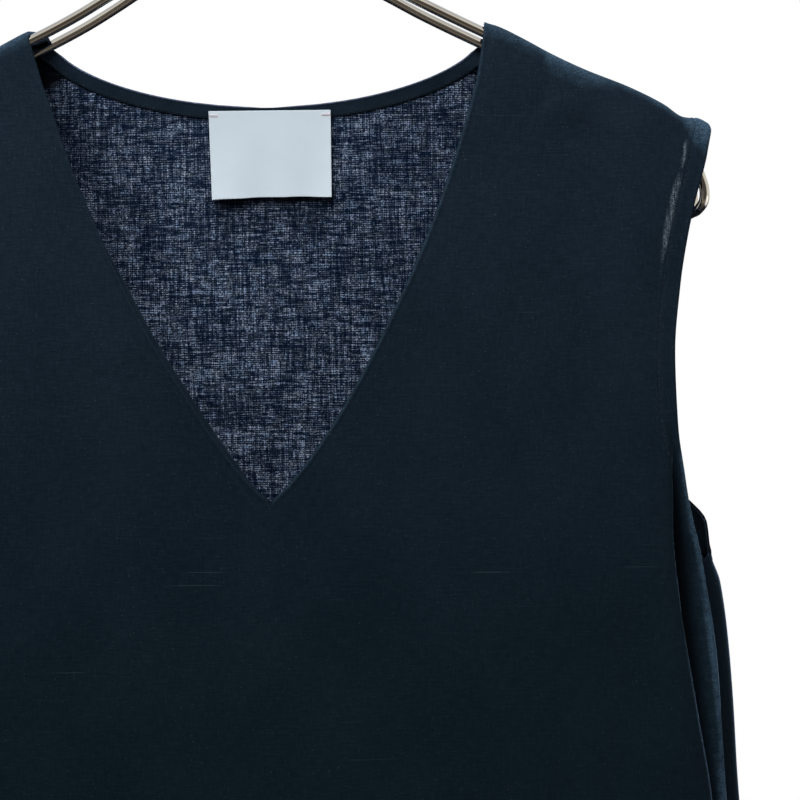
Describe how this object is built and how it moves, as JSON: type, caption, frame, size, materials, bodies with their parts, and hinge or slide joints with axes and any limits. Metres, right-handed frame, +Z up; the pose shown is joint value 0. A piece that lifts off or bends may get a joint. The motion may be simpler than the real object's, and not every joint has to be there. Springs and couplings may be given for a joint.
{
  "type": "sleeveless dress on a hanger",
  "caption": "Sleeveless A-line dress with a deep V neck, hanging open and empty on a double-wire chrome hanger.",
  "frame": {"origin": "inside top of the hanger's hook, where a rail carries it", "axes": "+Z up; -Y the front of the dress; +X to the right of someone looking at the front"},
  "size_m": [0.5772, 0.0927, 1.2727],
  "materials": {
    "linen": "open plain weave, blue-black, matt with a faint sheen",
    "linen_binding": "close plain weave, pressed and topstitched",
    "woven_label": "smooth pale satin weave, bare",
    "chrome": "polished chrome plate"
  },
  "bodies": {
    "root": {"front_panel": "linen", "back_panel": "linen", "front_neck_binding": "linen_binding", "back_neck_binding": "linen_binding", "armhole_binding_right": "linen_binding", "armhole_binding_left": "linen_binding", "neck_label": "woven_label", "hanger_hook": "chrome", "hanger_collar": "chrome", "hanger_arm_right": "chrome", "hanger_arm_left": "chrome"}
  },
  "joints": []
}
